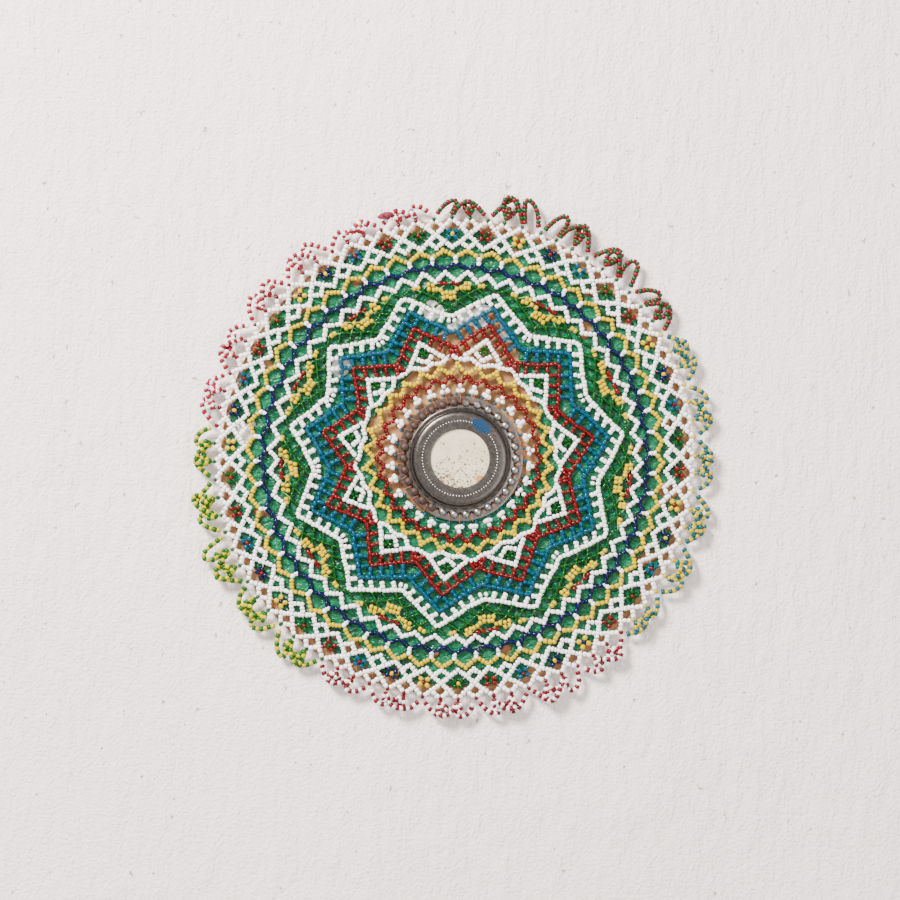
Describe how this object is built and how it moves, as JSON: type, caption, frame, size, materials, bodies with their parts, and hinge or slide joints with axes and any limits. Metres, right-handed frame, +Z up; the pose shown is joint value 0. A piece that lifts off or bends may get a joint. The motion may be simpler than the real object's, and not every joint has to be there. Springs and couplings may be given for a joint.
{
  "type": "beaded wall medallion",
  "caption": "Round wall ornament: a glass-bead net over cloth and leather, a stamped steel boss with a round mirror in the middle, and a fringe of beaded loops that folds forward at the rim.",
  "frame": {"origin": "the centre of the steel boss, on the leather's flat back face, which lies on the wall plane y = 0", "axes": "+Y into the wall, so the front faces -Y; +Z up; +X to the right as seen from the front"},
  "size_m": [0.2618, 0.0086, 0.2616],
  "materials": {
    "leather": "undyed vegetable-tanned, matt",
    "cotton": "plain woven cotton",
    "green_cloth": "glossy crinkled satin",
    "steel": "stamped sheet, rusted brown on one side",
    "mirror": "aged silvering, cream with brown specks",
    "tin": "tinned sheet",
    "copper_thread": "waxed brown thread",
    "crimson_wool": "loose wool",
    "white_beads": "opaque white seed beads",
    "red_beads": "opaque red seed beads",
    "yellow_beads": "opaque yellow seed beads",
    "turquoise_beads": "transparent turquoise beads",
    "green_beads": "transparent green beads",
    "navy_beads": "navy beads",
    "red_green_beads": "dark red and transparent green beads in turn",
    "turquoise_yellow_beads": "turquoise and yellow beads in turn",
    "dark_red_white_beads": "dark red and white beads in turn",
    "green_yellow_beads": "green and yellow beads in turn",
    "red_white_beads": "red and white beads in turn"
  },
  "bodies": {
    "root": {"leather_base": "leather", "cotton_lining": "cotton", "green_cloth": "green_cloth", "boss_shell": "steel", "mirror_glass": "mirror", "mirror_backing": "tin", "boss_lashing": "copper_thread", "picot_collar": "white_beads", "red_collar": "red_beads", "yellow_collar": "yellow_beads", "white_triangles": "white_beads", "red_star": "red_beads", "turquoise_star": "turquoise_beads", "white_star": "white_beads", "green_field": "green_beads", "white_border": "white_beads", "blue_border": "navy_beads", "yellow_border": "yellow_beads", "flower_lattice": "white_beads"},
    "fringe_red_green_1": {"fringe_red_green_1": "red_green_beads"},
    "fringe_red_green_2": {"fringe_red_green_2": "red_green_beads"},
    "fringe_red_green_3": {"fringe_red_green_3": "red_green_beads"},
    "fringe_red_green_4": {"fringe_red_green_4": "red_green_beads"},
    "fringe_red_green_5": {"fringe_red_green_5": "red_green_beads"},
    "fringe_turquoise_yellow_1": {"fringe_turquoise_yellow_1": "turquoise_yellow_beads"},
    "fringe_turquoise_yellow_2": {"fringe_turquoise_yellow_2": "turquoise_yellow_beads"},
    "fringe_turquoise_yellow_3": {"fringe_turquoise_yellow_3": "turquoise_yellow_beads"},
    "fringe_turquoise_yellow_4": {"fringe_turquoise_yellow_4": "turquoise_yellow_beads"},
    "fringe_turquoise_yellow_5": {"fringe_turquoise_yellow_5": "turquoise_yellow_beads"},
    "fringe_turquoise_yellow_6": {"fringe_turquoise_yellow_6": "turquoise_yellow_beads"},
    "fringe_dark_red_white_1": {"fringe_dark_red_white_1": "dark_red_white_beads"},
    "fringe_dark_red_white_2": {"fringe_dark_red_white_2": "dark_red_white_beads"},
    "fringe_dark_red_white_3": {"fringe_dark_red_white_3": "dark_red_white_beads"},
    "fringe_dark_red_white_4": {"fringe_dark_red_white_4": "dark_red_white_beads"},
    "fringe_dark_red_white_5": {"fringe_dark_red_white_5": "dark_red_white_beads"},
    "fringe_dark_red_white_6": {"fringe_dark_red_white_6": "dark_red_white_beads"},
    "fringe_green_yellow_1": {"fringe_green_yellow_1": "green_yellow_beads"},
    "fringe_green_yellow_2": {"fringe_green_yellow_2": "green_yellow_beads"},
    "fringe_green_yellow_3": {"fringe_green_yellow_3": "green_yellow_beads"},
    "fringe_green_yellow_4": {"fringe_green_yellow_4": "green_yellow_beads"},
    "fringe_green_yellow_5": {"fringe_green_yellow_5": "green_yellow_beads"},
    "fringe_red_white_1": {"fringe_red_white_1": "red_white_beads"},
    "fringe_red_white_2": {"fringe_red_white_2": "red_white_beads"},
    "fringe_red_white_3": {"fringe_red_white_3": "red_white_beads"},
    "fringe_red_white_4": {"fringe_red_white_4": "red_white_beads"},
    "fringe_red_white_5": {"fringe_red_white_5": "red_white_beads"},
    "fringe_red_white_6": {"fringe_red_white_6": "red_white_beads", "hanging_tuft": "crimson_wool"}
  },
  "joints": [
    {"name": "fringe_red_green_1_hinge", "type": "hinge", "parent": "root", "child": "fringe_red_green_1", "pos_m": [0.00045, -0.0058, 0.11846], "axis": [0.9997, 0, -0.0249], "range_deg": [0, 135]},
    {"name": "fringe_red_green_2_hinge", "type": "hinge", "parent": "root", "child": "fringe_red_green_2", "pos_m": [0.02674, -0.0058, 0.11484], "axis": [0.9691, 0, -0.2468], "range_deg": [0, 135]},
    {"name": "fringe_red_green_3_hinge", "type": "hinge", "parent": "root", "child": "fringe_red_green_3", "pos_m": [0.05156, -0.0058, 0.10545], "axis": [0.8899, 0, -0.4562], "range_deg": [0, 135]},
    {"name": "fringe_red_green_4_hinge", "type": "hinge", "parent": "root", "child": "fringe_red_green_4", "pos_m": [0.07367, -0.0058, 0.09078], "axis": [0.766, 0, -0.6428], "range_deg": [0, 135]},
    {"name": "fringe_red_green_5_hinge", "type": "hinge", "parent": "root", "child": "fringe_red_green_5", "pos_m": [0.09196, -0.0058, 0.07155], "axis": [0.6038, 0, -0.7971], "range_deg": [0, 135]},
    {"name": "fringe_turquoise_yellow_1_hinge", "type": "hinge", "parent": "root", "child": "fringe_turquoise_yellow_1", "pos_m": [0.10551, -0.0058, 0.04874], "axis": [0.4113, 0, -0.9115], "range_deg": [0, 135]},
    {"name": "fringe_turquoise_yellow_2_hinge", "type": "hinge", "parent": "root", "child": "fringe_turquoise_yellow_2", "pos_m": [0.11365, -0.0058, 0.02348], "axis": [0.1981, 0, -0.9802], "range_deg": [0, 135]},
    {"name": "fringe_turquoise_yellow_3_hinge", "type": "hinge", "parent": "root", "child": "fringe_turquoise_yellow_3", "pos_m": [0.11596, -0.0058, -0.00295], "axis": [-0.0249, 0, -0.9997], "range_deg": [0, 135]},
    {"name": "fringe_turquoise_yellow_4_hinge", "type": "hinge", "parent": "root", "child": "fringe_turquoise_yellow_4", "pos_m": [0.11234, -0.0058, -0.02924], "axis": [-0.2468, 0, -0.9691], "range_deg": [0, 135]},
    {"name": "fringe_turquoise_yellow_5_hinge", "type": "hinge", "parent": "root", "child": "fringe_turquoise_yellow_5", "pos_m": [0.10295, -0.0058, -0.05406], "axis": [-0.4562, 0, -0.8899], "range_deg": [0, 135]},
    {"name": "fringe_turquoise_yellow_6_hinge", "type": "hinge", "parent": "root", "child": "fringe_turquoise_yellow_6", "pos_m": [0.08828, -0.0058, -0.07617], "axis": [-0.6428, 0, -0.766], "range_deg": [0, 135]},
    {"name": "fringe_dark_red_white_1_hinge", "type": "hinge", "parent": "root", "child": "fringe_dark_red_white_1", "pos_m": [0.06905, -0.0058, -0.09446], "axis": [-0.7971, 0, -0.6038], "range_deg": [0, 135]},
    {"name": "fringe_dark_red_white_2_hinge", "type": "hinge", "parent": "root", "child": "fringe_dark_red_white_2", "pos_m": [0.04624, -0.0058, -0.10801], "axis": [-0.9115, 0, -0.4113], "range_deg": [0, 135]},
    {"name": "fringe_dark_red_white_3_hinge", "type": "hinge", "parent": "root", "child": "fringe_dark_red_white_3", "pos_m": [0.02098, -0.0058, -0.11615], "axis": [-0.9802, 0, -0.1981], "range_deg": [0, 135]},
    {"name": "fringe_dark_red_white_4_hinge", "type": "hinge", "parent": "root", "child": "fringe_dark_red_white_4", "pos_m": [-0.00545, -0.0058, -0.11846], "axis": [-0.9997, 0, 0.0249], "range_deg": [0, 135]},
    {"name": "fringe_dark_red_white_5_hinge", "type": "hinge", "parent": "root", "child": "fringe_dark_red_white_5", "pos_m": [-0.03174, -0.0058, -0.11484], "axis": [-0.9691, 0, 0.2468], "range_deg": [0, 135]},
    {"name": "fringe_dark_red_white_6_hinge", "type": "hinge", "parent": "root", "child": "fringe_dark_red_white_6", "pos_m": [-0.05656, -0.0058, -0.10545], "axis": [-0.8899, 0, 0.4562], "range_deg": [0, 135]},
    {"name": "fringe_green_yellow_1_hinge", "type": "hinge", "parent": "root", "child": "fringe_green_yellow_1", "pos_m": [-0.07867, -0.0058, -0.09078], "axis": [-0.766, 0, 0.6428], "range_deg": [0, 135]},
    {"name": "fringe_green_yellow_2_hinge", "type": "hinge", "parent": "root", "child": "fringe_green_yellow_2", "pos_m": [-0.09696, -0.0058, -0.07155], "axis": [-0.6038, 0, 0.7971], "range_deg": [0, 135]},
    {"name": "fringe_green_yellow_3_hinge", "type": "hinge", "parent": "root", "child": "fringe_green_yellow_3", "pos_m": [-0.11051, -0.0058, -0.04874], "axis": [-0.4113, 0, 0.9115], "range_deg": [0, 135]},
    {"name": "fringe_green_yellow_4_hinge", "type": "hinge", "parent": "root", "child": "fringe_green_yellow_4", "pos_m": [-0.11865, -0.0058, -0.02348], "axis": [-0.1981, 0, 0.9802], "range_deg": [0, 135]},
    {"name": "fringe_green_yellow_5_hinge", "type": "hinge", "parent": "root", "child": "fringe_green_yellow_5", "pos_m": [-0.12096, -0.0058, 0.00295], "axis": [0.0249, 0, 0.9997], "range_deg": [0, 135]},
    {"name": "fringe_red_white_1_hinge", "type": "hinge", "parent": "root", "child": "fringe_red_white_1", "pos_m": [-0.11734, -0.0058, 0.02924], "axis": [0.2468, 0, 0.9691], "range_deg": [0, 135]},
    {"name": "fringe_red_white_2_hinge", "type": "hinge", "parent": "root", "child": "fringe_red_white_2", "pos_m": [-0.10795, -0.0058, 0.05406], "axis": [0.4562, 0, 0.8899], "range_deg": [0, 135]},
    {"name": "fringe_red_white_3_hinge", "type": "hinge", "parent": "root", "child": "fringe_red_white_3", "pos_m": [-0.09328, -0.0058, 0.07617], "axis": [0.6428, 0, 0.766], "range_deg": [0, 135]},
    {"name": "fringe_red_white_4_hinge", "type": "hinge", "parent": "root", "child": "fringe_red_white_4", "pos_m": [-0.07405, -0.0058, 0.09446], "axis": [0.7971, 0, 0.6038], "range_deg": [0, 135]},
    {"name": "fringe_red_white_5_hinge", "type": "hinge", "parent": "root", "child": "fringe_red_white_5", "pos_m": [-0.05124, -0.0058, 0.10801], "axis": [0.9115, 0, 0.4113], "range_deg": [0, 135]},
    {"name": "fringe_red_white_6_hinge", "type": "hinge", "parent": "root", "child": "fringe_red_white_6", "pos_m": [-0.02598, -0.0058, 0.11615], "axis": [0.9802, 0, 0.1981], "range_deg": [0, 135]}
  ]
}
